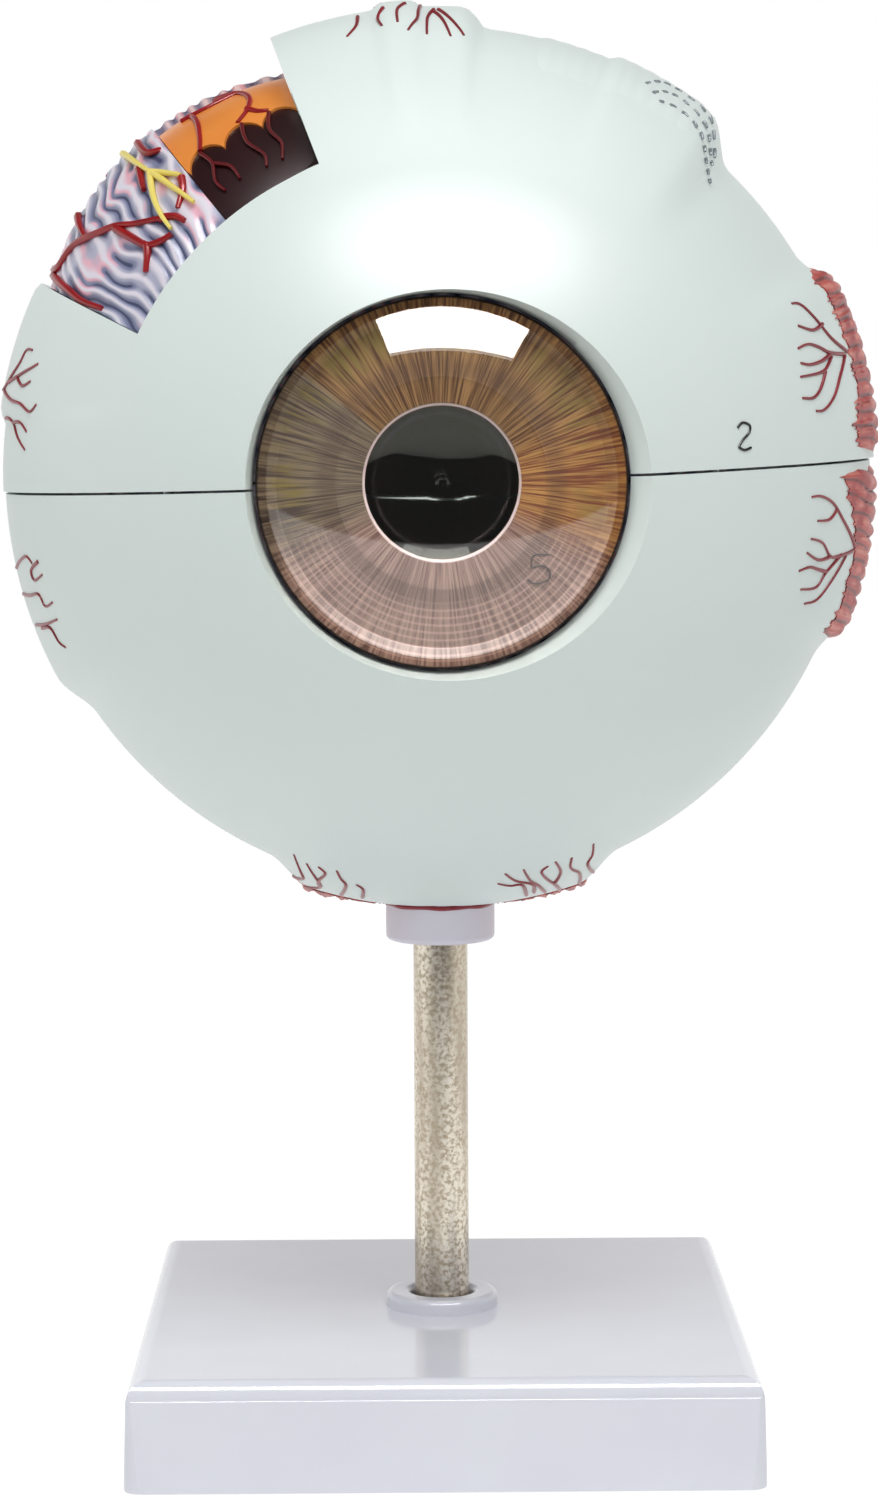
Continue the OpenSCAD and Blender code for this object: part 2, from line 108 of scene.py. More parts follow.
def mottled(name, dark, light, pitch, strength=0.1, depth=0.1 * MM, **finish):
    """A material with soft clouds of two tones, which also give it a slight relief."""
    material, shader = new_material(name, **finish)
    place = add(material, "ShaderNodeTexCoord")["Object"]
    cloud = add(material, "ShaderNodeTexNoise", {"Vector": place, "Scale": 1 / pitch, "Detail": 2.0})[0]
    tone = add(material, "ShaderNodeMix", {0: cloud, 6: colour(dark), 7: colour(light)}, data_type="RGBA")[2]
    relief = add(material, "ShaderNodeBump", {"Height": cloud, "Strength": strength, "Distance": depth})[0]
    join(shader, Base_Color=tone, Normal=relief)
    return material


def new_piece(name, mesh, material=None):
    piece = bpy.data.objects.new(name, mesh)
    bpy.context.scene.collection.objects.link(piece)
    if material:
        mesh.materials.append(material)
    return piece


def plane_mesh(name, width, depth, place):
    bm = bmesh.new()
    bmesh.ops.create_grid(bm, x_segments=1, y_segments=1, size=0.5)
    bmesh.ops.scale(bm, vec=(width, depth, 1), verts=bm.verts)
    bmesh.ops.transform(bm, matrix=place, verts=bm.verts)
    mesh = bpy.data.meshes.new(name)
    bm.to_mesh(mesh)
    bm.free()
    return mesh


table_paint, table_shader = new_material("matte_white_laminate", Base_Color=colour("#f2f2f2"), Roughness=0.6)
light_path = add(table_paint, "ShaderNodeLightPath")
seen = add(table_paint, "ShaderNodeMath", {0: light_path["Is Camera Ray"], 1: light_path["Is Glossy Ray"]},
           operation="MAXIMUM")[0]
seen = add(table_paint, "ShaderNodeMath", {0: seen, 1: light_path["Is Transmission Ray"]},
           operation="MAXIMUM")[0]
shadow_keeper = add(table_paint, "ShaderNodeBsdfDiffuse", {"Color": colour("#8c8c8c")})[0]
white_glow = add(table_paint, "ShaderNodeEmission", {"Color": colour("#ffffff"), "Strength": 0.86})[0]
seen_table = add(table_paint, "ShaderNodeAddShader", {0: shadow_keeper, 1: white_glow})[0]
table_mix = add(table_paint, "ShaderNodeMixShader", {0: seen, 1: table_shader.outputs[0], 2: seen_table})[0]
join(table_paint.node_tree.nodes["Material Output"], Surface=table_mix)
# The table ends a forearm's length in front of the object, where the cornea stops mirroring it
table_place = Matrix.Translation((0, 1.6, -0.2 * MM))
table_top = new_piece("table_top", plane_mesh("table_top", 4, 4, table_place), table_paint)

world = bpy.data.worlds.new("white_room")
bpy.context.scene.world = world
world.use_nodes = True
room = world.node_tree.nodes["Background"]
room_path = add(world, "ShaderNodeLightPath")
room_direction = add(world, "ShaderNodeTexCoord")["Generated"]
room_side = add(world, "ShaderNodeSeparateXYZ", {0: room_direction})
# Metal and glass see the white backdrop behind the object, and a dim room in front of it and above
dim_room = 0.055
behind = add(world, "ShaderNodeMapRange", {"Value": room_side["Y"], "From Min": -0.35, "From Max": 0.25})[0]
below = add(world, "ShaderNodeMapRange", {"Value": room_side["Z"], "From Min": 0.5, "From Max": 0.2})[0]
backdrop = add(world, "ShaderNodeMath", {0: behind, 1: below}, operation="MULTIPLY")[0]
gloss_level = add(world, "ShaderNodeMapRange", {"Value": backdrop, "To Min": dim_room})[0]
# The side away from the softbox's middle gets a little less of the room's light
soft_level = add(world, "ShaderNodeMapRange", {
    "Value": room_side["X"], "From Min": -1.0, "To Min": 0.66, "To Max": 0.46})[0]
sharp_ray = add(world, "ShaderNodeMath", {0: room_path["Is Glossy Ray"], 1: room_path["Is Transmission Ray"]},
                operation="MAXIMUM")[0]
seen_room = add(world, "ShaderNodeMix", {0: sharp_ray, 2: soft_level, 3: gloss_level})[0]
room_strength = add(world, "ShaderNodeMix", {0: room_path["Is Camera Ray"], 2: seen_room, 3: 1.0})[0]
join(room, Strength=room_strength)
room.inputs["Color"].default_value = (1, 1, 1, 1)

softbox_width = 1.0
softbox_depth = 0.44
softbox_place = Matrix.Translation((0.1, -0.56, 1.16))
softbox_light = bpy.data.lights.new("softbox", "AREA")
softbox_light.shape = "RECTANGLE"
softbox_light.size = softbox_width
softbox_light.size_y = softbox_depth
softbox_light.energy = 7.5
softbox = bpy.data.objects.new("softbox", softbox_light)
bpy.context.scene.collection.objects.link(softbox)
softbox.matrix_world = softbox_place
softbox.visible_glossy = False

card_glow, card_shader = new_material("softbox_cloth", Base_Color=(0, 0, 0, 1))
card_shader.inputs["Emission Color"].default_value = (1, 1, 1, 1)
card_shader.inputs["Emission Strength"].default_value = 22
softbox_card = new_piece(
    "softbox_card", plane_mesh("softbox_card", softbox_width, softbox_depth, softbox_place), card_glow)
softbox_card.visible_camera = False
softbox_card.visible_diffuse = False
softbox_card.visible_transmission = False
softbox_card.visible_shadow = False


# ------------------------------------------------------------------ base and foot ring
# A square hollow base and a round-edged ring at the post's foot, injection moulded in glossy
# white ABS with a faint lilac tint. Moulded gloss shows a very slight waviness.
def dress(node, material):
    """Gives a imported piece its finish."""
    data = nodes[node].data
    data.materials.clear()
    data.materials.append(material)


white_abs = mottled("moulded_white_abs", "#e0e1eb", "#e8eaf2", 14 * MM, 0.06, 0.3 * MM,
                    Roughness=0.12, IOR=1.53)
dress("base_shell", white_abs)
dress("foot_ring", white_abs)

# ------------------------------------------------------------------ post, screw and washer
# A turned steel post, nickel plated over a speckled ground, with a warm cast, and a zinc-plated
# screw and washer under the base that hold it.
nickel, nickel_shader = new_material("speckled_nickel_plate", Metallic=1.0, Roughness=0.24)
nickel_place = add(nickel, "ShaderNodeTexCoord")["Object"]
speckle_size = 0.7 * MM
speckle = add(nickel, "ShaderNodeTexNoise", {
    "Vector": nickel_place, "Scale": 1 / speckle_size, "Detail": 3.0, "Roughness": 0.6})[0]
speckle_mask = add(nickel, "ShaderNodeMapRange", {"Value": speckle, "From Min": 0.38, "From Max": 0.56})[0]
# Long stains run down the post
stain_width = 3.85 * MM
stain_length = 45.5 * MM
stretch = add(nickel, "ShaderNodeMapping", {
    "Vector": nickel_place, "Scale": (1 / stain_width, 1 / stain_width, 1 / stain_length)})[0]
streak = add(nickel, "ShaderNodeTexNoise", {"Vector": stretch, "Scale": 1.0, "Detail": 3.0})[0]
streak_mask = add(nickel, "ShaderNodeMapRange", {"Value": streak, "From Min": 0.35, "From Max": 0.62})[0]
plate_tone = add(nickel, "ShaderNodeMix", {
    0: streak_mask, 6: colour("#b9ae9c"), 7: colour("#e8e0d1")}, data_type="RGBA")[2]
speckled = add(nickel, "ShaderNodeMix", {
    0: speckle_mask, 6: colour("#aea18c"), 7: plate_tone}, data_type="RGBA")[2]
pitting = add(nickel, "ShaderNodeBump", {"Height": speckle, "Strength": 0.12, "Distance": 0.05 * MM})[0]
join(nickel_shader, Base_Color=speckled, Normal=pitting)
dress("post", nickel)

zinc, zinc_shader = new_material("zinc_plated_steel", Metallic=1.0, Roughness=0.35)
zinc_place = add(zinc, "ShaderNodeTexCoord")["Object"]
zinc_grain_size = 2 * MM
zinc_grain = add(zinc, "ShaderNodeTexNoise", {"Vector": zinc_place, "Scale": 1 / zinc_grain_size})[0]
zinc_tone = add(zinc, "ShaderNodeMix", {
    0: zinc_grain, 6: colour("#9a9ca0"), 7: colour("#c6c8cc")}, data_type="RGBA")[2]
join(zinc_shader, Base_Color=zinc_tone)
for hardware in ("post_screw", "post_washer", "seam_pins"):
    dress(hardware, zinc)

# ------------------------------------------------------------------ collar
# The bush under the eye, moulded in duller lilac-white ABS, that turns on the post.
dress("collar", mottled("moulded_lilac_abs", "#dcd8e4", "#e8e4ee", 8.33 * MM, Roughness=0.38, IOR=1.53))

# ------------------------------------------------------------------ white coat
# Two half shells, moulded and sprayed in mint-white eggshell paint. Tendon pads swell out of them
# towards the muscles, the upper one has the window, and both form the bevelled front opening.
EYE = Vector((0, 0, 164.1 * MM))
globe_r = 72 * MM
coat_in_r = 68.6 * MM
seam_tilt = 2
seam_gap = 0.42 * MM
opening_r = 29.6 * MM
rim_depth = 62.2 * MM
blend_polar = 40
window_azimuth = (110.8, 154)
window_polar = (48.5, 114)
seat_depth = 73.7 * MM
pad_flank = 3.5
nerve_turn = 15
drill_length = 40 * MM
# Each pad: azimuths, height in mm, polar angles over which it rises, and over which it falls away
upper_pads = [
    (-14, 28, 3.1, (42, 82), (133, 139)),
    (152, 174, 4.2, (48, 84), (133, 139)),
    (168, 200, 3.0, (42, 82), (133, 139)),
    (83.5, 114, 8.0, (44, 84), (133, 139)),
    (90, 100, 9.2, (44, 84), (133, 139)),
    (49.5, 69, 5.6, (44, 78), (96, 114)),
    (60, 88, 4.6, (44, 78), (96, 114)),
]
lower_pads = [
    (-22.5, 14, 2.4, (42, 82), (133, 139)),
    (166, 211, 2.6, (42, 82), (133, 139)),
    (249, 292, 3.0, (42, 82), (126, 132)),
]


def smooth(low, high, x):
    t = min(max((x - low) / (high - low), 0), 1)
    return t * t * (3 - 2 * t)


def toward(azimuth, polar):
    a, p = math.radians(azimuth), math.radians(polar)
    return Vector((math.sin(p) * math.cos(a), -math.cos(p), math.sin(p) * math.sin(a)))


def angles_of(point):
    """Azimuth and polar angle of a point, seen from the eye's centre."""
    polar = math.degrees(math.acos(max(-1, min(1, -point.y / point.length))))
    return math.degrees(math.atan2(point.z, point.x)), polar


def pad_height(pads, azimuth, polar, falls=True):
    height = 0
    for start, end, top, rise, fall in pads:
        away = abs((azimuth - (start + end) / 2 + 180) % 360 - 180)
        half = (end - start) / 2
        share = (1 - smooth(half - pad_flank, half + pad_flank, away)) * smooth(*rise, polar)
        if falls:
            share *= 1 - smooth(*fall, polar)
        height = max(height, top * MM * share)
    return height


def coat_radius(pads, azimuth, polar, falls=True):
    """Radius of the white coat's outside. Below, it is cut flat for the collar."""
    radius = globe_r + pad_height(pads, azimuth, polar, falls)
    down = -toward(azimuth, polar).z
    if down > 0.5:
        radius = min(radius, seat_depth / down)
    return radius


def bevel_width(azimuth):
    """The bevel of the front opening is widest at the temple side and narrowest at the top."""
    a = math.radians(azimuth)
    return (0.9 + 1.25 * math.cos(a) ** 2 + 1.05 * math.cos(a) - 0.4 * math.sin(a)) * MM


def at_place(limits, place):
    """The value at a place from -0.5 to 0.5 between two limits."""
    return limits[0] + (limits[1] - limits[0]) * (place + 0.5)


def steps_between(low, high, count):
    return [low + (high - low) * i / count for i in range(count)]


def finish_mesh(bm, name, crease=38):
    """Turns a modelled shape into a smooth-shaded mesh round the eye's centre."""
    bmesh.ops.remove_doubles(bm, verts=bm.verts, dist=1e-6)
    bmesh.ops.recalc_face_normals(bm, faces=bm.faces)
    bmesh.ops.translate(bm, vec=EYE, verts=bm.verts)
    mesh = bpy.data.meshes.new(name)
    bm.to_mesh(mesh)
    bm.free()
    mesh.shade_smooth()
    mesh.set_sharp_from_angle(angle=math.radians(crease))
    return mesh


def settle(piece):
    """Makes the piece's modifiers part of its mesh."""
    graph = bpy.context.evaluated_depsgraph_get()
    mesh = bpy.data.meshes.new_from_object(piece.evaluated_get(graph))
    piece.modifiers.clear()
    piece.data = mesh


def drill_for_nerve(piece, hole_r):
    """Bores the hole through which the optic nerve passes at the back."""
    bm = bmesh.new()
    bmesh.ops.create_cone(bm, segments=64, radius1=hole_r, radius2=hole_r, depth=drill_length, cap_ends=True)
    turn = Matrix.Rotation(math.radians(nerve_turn), 4, "Z") @ Matrix.Rotation(math.radians(-90), 4, "X")
    bmesh.ops.transform(
        bm, matrix=Matrix.Translation(EYE) @ turn @ Matrix.Translation((0, 0, globe_r)), verts=bm.verts)
    drill_mesh = bpy.data.meshes.new("drill")
    bm.to_mesh(drill_mesh)
    bm.free()
    drill = new_piece("drill", drill_mesh)
    cut = piece.modifiers.new("nerve hole", "BOOLEAN")
    cut.object = drill
    cut.solver = "EXACT"
    settle(piece)
    bpy.data.objects.remove(drill)


def coat_half(half, pads, hole_r, material):
    name = f"white_coat_{half}"
    upper = half == "upper"
    front = math.degrees(math.asin((opening_r + 1.2 * MM) / globe_r))
    back = steps_between(*window_polar, 50) + steps_between(window_polar[1], 180, 44) + [180]
    outside = [(globe_r * math.sin(math.radians(p)), globe_r * math.cos(math.radians(p)))
               for p in steps_between(front, window_polar[0], 24) + back]
    inner_front = math.degrees(math.asin(opening_r / coat_in_r))
    inside = [(coat_in_r * math.sin(math.radians(p)), coat_in_r * math.cos(math.radians(p)))
              for p in steps_between(inner_front, window_polar[0], 24) + back]
    bm = bmesh.new()
    for points in ([(opening_r, rim_depth)] + outside, [(opening_r, rim_depth)] + inside):
        corners = [bm.verts.new((across, -depth, 0)) for across, depth in points]
        for a, b in zip(corners, corners[1:]):
            bm.edges.new((a, b))
    bmesh.ops.spin(bm, geom=bm.verts[:] + bm.edges[:], cent=(0, 0, 0), axis=(0, -1, 0), angle=math.pi,
                   steps=180, use_merge=False)
    turn = math.radians(seam_tilt + (0 if upper else 180))
    bmesh.ops.rotate(bm, cent=(0, 0, 0), matrix=Matrix.Rotation(turn, 3, (0, -1, 0)), verts=bm.verts)
    bmesh.ops.remove_doubles(bm, verts=bm.verts, dist=1e-6)

    up = toward(seam_tilt + 90, 90) * (1 if upper else -1)
    bmesh.ops.bisect_plane(bm, geom=bm.verts[:] + bm.edges[:] + bm.faces[:], plane_co=up * seam_gap / 2,
                           plane_no=up, clear_inner=True)
    bmesh.ops.holes_fill(bm, edges=[e for e in bm.edges if e.is_boundary], sides=0)
    if upper:
        for azimuth in window_azimuth:
            across = toward(azimuth + 90, 90)
            bmesh.ops.bisect_plane(bm, geom=bm.verts[:] + bm.edges[:] + bm.faces[:], plane_co=(0, 0, 0),
                                   plane_no=across)
        cut_out = []
        for face in bm.faces:
            azimuth, polar = angles_of(face.calc_center_median())
            if window_azimuth[0] < azimuth < window_azimuth[1] and window_polar[0] < polar < window_polar[1]:
                cut_out.append(face)
        bmesh.ops.delete(bm, geom=cut_out, context="FACES")
        bmesh.ops.bridge_loops(bm, edges=[e for e in bm.edges if e.is_boundary])
    for corner in bm.verts:
        if corner.co.length < globe_r - 1 * MM:
            continue
        azimuth, polar = angles_of(corner.co)
        if polar < blend_polar:
            bevel_polar = math.degrees(math.asin((opening_r + bevel_width(azimuth)) / globe_r))
            share = (polar - front) / (blend_polar - front)
            polar = bevel_polar + (blend_polar - bevel_polar) * share
        corner.co = toward(azimuth, polar) * coat_radius(pads, azimuth, polar)
    piece = new_piece(name, finish_mesh(bm, name), material)
    drill_for_nerve(piece, hole_r)
    rounded = piece.modifiers.new("eased edges", "BEVEL")
    rounded.width = 0.25 * MM
    rounded.segments = 2
    rounded.limit_method = "ANGLE"
    rounded.angle_limit = math.radians(48)
    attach(piece, f"{half}_half")
    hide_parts(f"sclera_{half}")


mint_paint, mint_shader = new_material("eggshell_mint_paint", Roughness=0.42, IOR=1.46)
mint_place = add(mint_paint, "ShaderNodeTexCoord")["Object"]
spray_cloud = add(mint_paint, "ShaderNodeTexNoise", {
    "Vector": mint_place, "Scale": 1 / (45 * MM), "Detail": 3.0})[0]
mint_tone = add(mint_paint, "ShaderNodeMix", {
    0: spray_cloud, 6: colour("#dce8e4"), 7: colour("#e6f0ec")}, data_type="RGBA")[2]
# Spray paint over a hand-finished casting: fine orange peel on a slightly uneven ground
peel = add(mint_paint, "ShaderNodeTexNoise", {"Vector": mint_place, "Scale": 1 / (1.4 * MM)})[0]
ground = add(mint_paint, "ShaderNodeTexNoise", {
    "Vector": mint_place, "Scale": 1 / (16 * MM), "Detail": 2.0})[0]
uneven = add(mint_paint, "ShaderNodeMath", {0: ground, 1: 6.0, 2: peel}, operation="MULTIPLY_ADD")[0]
mint_relief = add(mint_paint, "ShaderNodeBump", {"Height": uneven, "Strength": 0.12, "Distance": 0.1 * MM})[0]
join(mint_shader, Base_Color=mint_tone, Normal=mint_relief)

coat_half("lower", lower_pads, 8.42 * MM, mint_paint)
coat_half("upper", upper_pads, 8.8 * MM, mint_paint)

# ------------------------------------------------------------------ muscles
# The straight muscles are moulded with the halves, in raised fibres that run front to back, and
# painted red by hand up to a ragged edge. Their cut ends stand a few millimetres off the globe.
fibre_deg = 2.05
fibre_height = 0.8 * MM
lump_height = 0.21 * MM
paint_over_coat = 0.22 * MM
rise_at_edge = 0.25 * MM
flank_drop = 1.6 * MM
sunk_in_coat = 0.4 * MM


def muscle(node, half, pads, azimuths, edge, end_polar=137):
    """A ridged sheet over the coat's pad. "edge" gives the ragged front edge's polar angle."""
    name = f"{node}_red"
    start, end = azimuths
    rows = max(int((end - start) * 6), 24)
    bm = bmesh.new()
    bmesh.ops.create_grid(bm, x_segments=rows, y_segments=56, size=0.5)
    crest = bm.verts.layers.float.new("crest")
    outside = set(bm.verts)
    bmesh.ops.extrude_face_region(bm, geom=bm.faces[:], use_keep_orig=True)
    for corner in bm.verts:
        azimuth = at_place(azimuths, corner.co.x)
        ragged = noise.noise(Vector((azimuth * 0.8, 3.1, 0.0))) * 1.3
        ragged -= max(0, noise.noise(Vector((azimuth * 3.1, 7.7, 0.0))) - 0.05) * 3.2
        front = edge(azimuth) + ragged
        polar = at_place((front, end_polar), corner.co.y)
        radius = globe_r - sunk_in_coat
        if corner in outside:
            sway = noise.noise(Vector((azimuth * 0.25, polar * 0.12, 1.7))) * 0.9
            fibre = (azimuth + sway + 0.1 * (polar - 80)) / fibre_deg
            corner[crest] = abs(math.sin(math.pi * fibre)) ** 0.8
            lump = noise.noise(toward(azimuth, polar) * 22) * lump_height
            top = coat_radius(pads, azimuth, polar, False) + paint_over_coat
            swell = smooth(0, 7, polar - front)
            flank = smooth(0, 2.2, azimuth - start) * smooth(0, 2.2, end - azimuth)
            radius = top + (corner[crest] * fibre_height + lump + rise_at_edge) * swell
            radius -= (1 - flank) * flank_drop
            if toward(azimuth, polar).z < -0.5:
                radius = min(radius, seat_depth / -toward(azimuth, polar).z)
        corner.co = toward(azimuth, polar) * radius
    piece = new_piece(name, finish_mesh(bm, name, 50), flesh_paint)
    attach(piece, f"{half}_half")
    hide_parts(node)


flesh_paint, flesh_shader = new_material("flesh_red_paint_painted_shade", Roughness=0.42, IOR=1.5)
flesh_place = add(flesh_paint, "ShaderNodeTexCoord")["Object"]
blotch = add(flesh_paint, "ShaderNodeTexNoise", {
    "Vector": flesh_place, "Scale": 1 / (5 * MM), "Detail": 3.0})[0]
blotch_mask = add(flesh_paint, "ShaderNodeMapRange", {"Value": blotch, "From Min": 0.4, "From Max": 0.6})[0]
wash = add(flesh_paint, "ShaderNodeMix", {
    0: blotch_mask, 6: colour("#a8302e"), 7: colour("#c4544a")}, data_type="RGBA")[2]
# Painted shade darkens the grooves, and a pale pink painted highlight lies on the crests where the blotches
# are light
crest_height = add(flesh_paint, "ShaderNodeAttribute", attribute_name="crest")["Fac"]
groove_shade_mask = add(flesh_paint, "ShaderNodeMapRange", {
    "Value": crest_height, "From Min": 0.15, "From Max": 0.6})[0]
crest_highlight_mask = add(flesh_paint, "ShaderNodeMapRange", {
    "Value": crest_height, "From Min": 0.8, "From Max": 1.0, "To Max": 0.75})[0]
crest_highlight_share = add(flesh_paint, "ShaderNodeMath", {0: crest_highlight_mask, 1: blotch_mask}, operation="MULTIPLY")[0]
shaded_grooves = add(flesh_paint, "ShaderNodeMix", {
    0: groove_shade_mask, 6: colour("#6d1a1c"), 7: wash}, data_type="RGBA")[2]
shaded_and_highlighted = add(flesh_paint, "ShaderNodeMix", {
    0: crest_highlight_share, 6: shaded_grooves, 7: colour("#e09080")}, data_type="RGBA")[2]
flesh_relief = add(flesh_paint, "ShaderNodeBump", {
    "Height": blotch, "Strength": 0.15, "Distance": 0.2 * MM})[0]
join(flesh_shader, Base_Color=shaded_and_highlighted, Normal=flesh_relief)

seam_clear = 0.3


def hidden_edge(azimuth):
    """The red starts behind the widest ring of the globe."""
    return 90


muscle("lateral_rectus_upper", "upper", upper_pads, (seam_tilt + seam_clear, 29.5),
       lambda azimuth: 70 + 4 * smooth(5, 14, azimuth))
muscle("lateral_rectus_lower", "lower", lower_pads, (-24, seam_tilt - seam_clear),
       lambda azimuth: 65.5 + 7.5 * smooth(-1, 11, -azimuth))
muscle("medial_rectus_upper", "upper", upper_pads, (157, 180 + seam_tilt - seam_clear), hidden_edge)
muscle("medial_rectus_lower", "lower", lower_pads, (180 + seam_tilt + seam_clear, 211), hidden_edge)
muscle("superior_rectus", "upper", upper_pads, (84, 109.5), hidden_edge)
muscle("inferior_rectus", "lower", lower_pads, (249.5, 291.5), lambda azimuth: 83, 130)

# ------------------------------------------------------------------ superior oblique tendon
# The flat tendon that fans out beside the superior rectus, painted like the coat it lies on.
tendon_azimuth = (52, 78)
tendon_polar = (62, 108)
bm = bmesh.new()
bmesh.ops.create_grid(bm, x_segments=70, y_segments=50, size=0.5)
tendon_face = set(bm.verts)
bmesh.ops.extrude_face_region(bm, geom=bm.faces[:], use_keep_orig=True)
for corner in bm.verts:
    azimuth, polar = at_place(tendon_azimuth, corner.co.x), at_place(tendon_polar, corner.co.y)
    radius = globe_r - sunk_in_coat
    if corner in tendon_face:
        sides = smooth(0, 2.5, azimuth - tendon_azimuth[0]) * smooth(0, 2.5, tendon_azimuth[1] - azimuth)
        fan = abs(math.sin(azimuth * 1.4)) * 0.12 * MM
        share = sides * smooth(0, 9, polar - tendon_polar[0])
        radius = coat_radius(upper_pads, azimuth, polar) - 0.3 * MM + (0.55 * MM + fan) * share
    corner.co = toward(azimuth, polar) * radius
superior_tendon = new_piece("superior_oblique_tendon", finish_mesh(bm, "superior_oblique_tendon"), mint_paint)
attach(superior_tendon, "upper_half")
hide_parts("superior_oblique")


# ------------------------------------------------------------------ painted vessels on the coat
# Small trees of vessels that come out from under the muscles, painted with a fine brush, so each
# stroke is a thin raised line of gloss paint.
def rounded_path(points, steps=5):
    """More points on a smooth line through the given ones."""
    padded = [points[0], *points, points[-1]]
    path = []
    for a, b, c, d in zip(padded, padded[1:], padded[2:], padded[3:]):
        for i in range(steps):
            t = i / steps
            path.append([
                q + 0.5 * t * (r - p + t * (2 * p - 5 * q + 4 * r - s + t * (3 * q - p - 3 * r + s)))
                for p, q, r, s in zip(a, b, c, d)
            ])
    return path + [list(points[-1])]


def brush_strokes(name, body, surface, strokes, width, tip, material):
    """Strokes of paint on a surface. Each one tapers from its first point to its tip."""
    curve = bpy.data.curves.new(name, "CURVE")
    curve.dimensions = "3D"
    curve.bevel_depth = 1
    curve.bevel_resolution = 1
    curve.use_fill_caps = True
    for stroke in strokes:
        path = rounded_path(stroke)
        line = curve.splines.new("POLY")
        line.points.add(len(path) - 1)
        for i, (point, (azimuth, polar)) in enumerate(zip(line.points, path)):
            point.radius = width / 2 * (1 + (tip - 1) * i / (len(path) - 1))
            point.co = (*surface(azimuth, polar), 1)
    piece = new_piece(name, curve)
    mesh = bpy.data.meshes.new_from_object(piece.evaluated_get(bpy.context.evaluated_depsgraph_get()))
    bpy.data.objects.remove(piece)
    mesh.materials.clear()
    mesh.shade_smooth()
    piece = new_piece(name, mesh, material)
    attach(piece, body)


def gloss_paint(name, dark, light, pitch):
    """Gloss model paint with the brush's slight change of tone."""
    return mottled(name, dark, light, pitch, Roughness=0.3, IOR=1.5)


def coat_surface(pads, proud):
    return lambda azimuth, polar: EYE + toward(azimuth, polar) * (coat_radius(pads, azimuth, polar) + proud)


on_upper_coat = coat_surface(upper_pads, 0.02 * MM)
vein_red = gloss_paint("maroon_vessel_paint", "#7a1f28", "#9c3038", 6 * MM)
upper_trees = [
    # Temple side, above the seam
    [(16.8, 72.5), (19.3, 68), (23.1, 65), (25.6, 62.9), (26.2, 61.2)],
    [(21.6, 66.8), (21.4, 63.3), (22.9, 60)],
    [(16.6, 71), (17.5, 66), (18.9, 63.1), (19.8, 60.7), (19.8, 57.9)],
    [(17.2, 65.5), (16.8, 62.6), (16.9, 59.5), (17.6, 57.4)],
    [(16.9, 66), (15.5, 63.2), (15.3, 60.5), (15.6, 56.4)],
    [(15.2, 63), (12.9, 60.4), (12, 58.2), (12.4, 55.7)],
    [(16.4, 71), (13.9, 67.1), (11.3, 63.7), (9.9, 60.5), (10, 58.3)],
    # Nose side, above the seam
    [(168.6, 82), (167.6, 79), (164.8, 74.8), (162.7, 73.3), (162.4, 71)],
    [(167.4, 78), (166.4, 74.3), (164.9, 70.2), (163.9, 68)],
    [(166.4, 74.3), (167.4, 71.5), (166.5, 69)],
    [(168.6, 81), (169.6, 75), (169.8, 71), (170.6, 67.6), (169.4, 65.9)],
    [(172.1, 78), (172.3, 74.6), (174.4, 71.4), (175.9, 68.3)],
    [(172.5, 74.2), (172.3, 71), (173.4, 68.2)],
    # Over the top
    [(99.8, 79), (100.2, 75), (101.6, 72)],
    [(96.6, 78), (97.4, 75), (97, 72)],
    [(93.9, 79.3), (94.9, 76.6), (95, 72.4)],
    [(92, 82), (92.3, 77.3), (92.6, 73.5), (93.8, 70)],
    [(90.4, 79), (91.2, 75.3), (91.4, 70)],
    [(90.4, 78), (89.3, 74.4), (88.3, 69.5)],
    [(89.8, 79), (88.4, 75), (86.6, 70)],
]
lower_trees = [
    # Temple side, below the seam
    [(-9.7, 72.4), (-6.3, 66.1), (-3.9, 62.3), (-2.9, 58.9), (-3, 56.3)],
    [(-4.9, 63.3), (-6.3, 61.5), (-6.6, 58.3)],
    [(-10.4, 72), (-11.3, 66.9), (-11.6, 63.6), (-9.8, 60.6), (-9.4, 57.3)],
    [(-11.6, 63.6), (-12.4, 60.4), (-11.6, 56.9)],
    [(-11.2, 67), (-13.9, 63.4), (-16.4, 61.6), (-17.3, 57.7)],
    [(-13.9, 63.4), (-13.8, 61.1), (-13.7, 58.5), (-14.6, 56)],
    [(-11.2, 69), (-15, 65.8), (-18.1, 63), (-19.2, 59.9)],
    # Nose side, below the seam
    [(192, 80), (191, 75), (190.6, 71.5), (191.6, 69.6)],
    [(191.5, 67.2), (192.5, 70.5), (194, 70.3), (193.4, 66.8)],
    [(195.6, 80), (195.9, 75), (196, 70.2), (197.8, 69.1), (197.5, 66.1)],
    [(200, 77), (200.2, 71.5), (200, 66.5)],
    [(200.6, 74), (200.9, 70.1), (203.1, 69.1), (204.1, 67.6)],
    # Below, on both sides of the collar
    [(249.8, 80), (251, 75), (250.2, 71.9), (248.6, 67.9)],
    [(252, 80), (253.6, 75.6), (252.5, 71.1), (250.7, 67.4)],
    [(253.2, 74), (253.1, 71.6), (253.6, 68.2), (252.4, 66.5)],
    [(256.6, 78), (256.8, 71.1), (255.8, 68.4), (255, 66)],
    [(259.4, 76), (259.2, 71.2), (258.2, 69.6)],
    [(281.5, 76), (281.2, 69.8), (279.5, 69.1), (277.9, 67.5)],
    [(282.6, 75), (282.6, 70.5), (280.4, 67.5), (279.1, 64.4)],
    [(284, 77), (283.4, 72), (282.4, 68.5), (281.8, 64.2)],
    [(286, 79), (285.6, 73.9), (284.2, 66.9), (285.3, 65)],
    [(285.7, 72.3), (286.8, 68.5), (286.5, 64.3)],
    [(288.8, 79), (289.2, 72), (288.3, 68.1), (288.9, 64.8)],
    [(291, 78), (290.7, 70.5), (291.8, 68.5), (292.5, 65.2)],
]
brush_strokes("vessels_on_upper_coat", "upper_half", on_upper_coat, upper_trees,
              0.78 * MM, 0.55, vein_red)
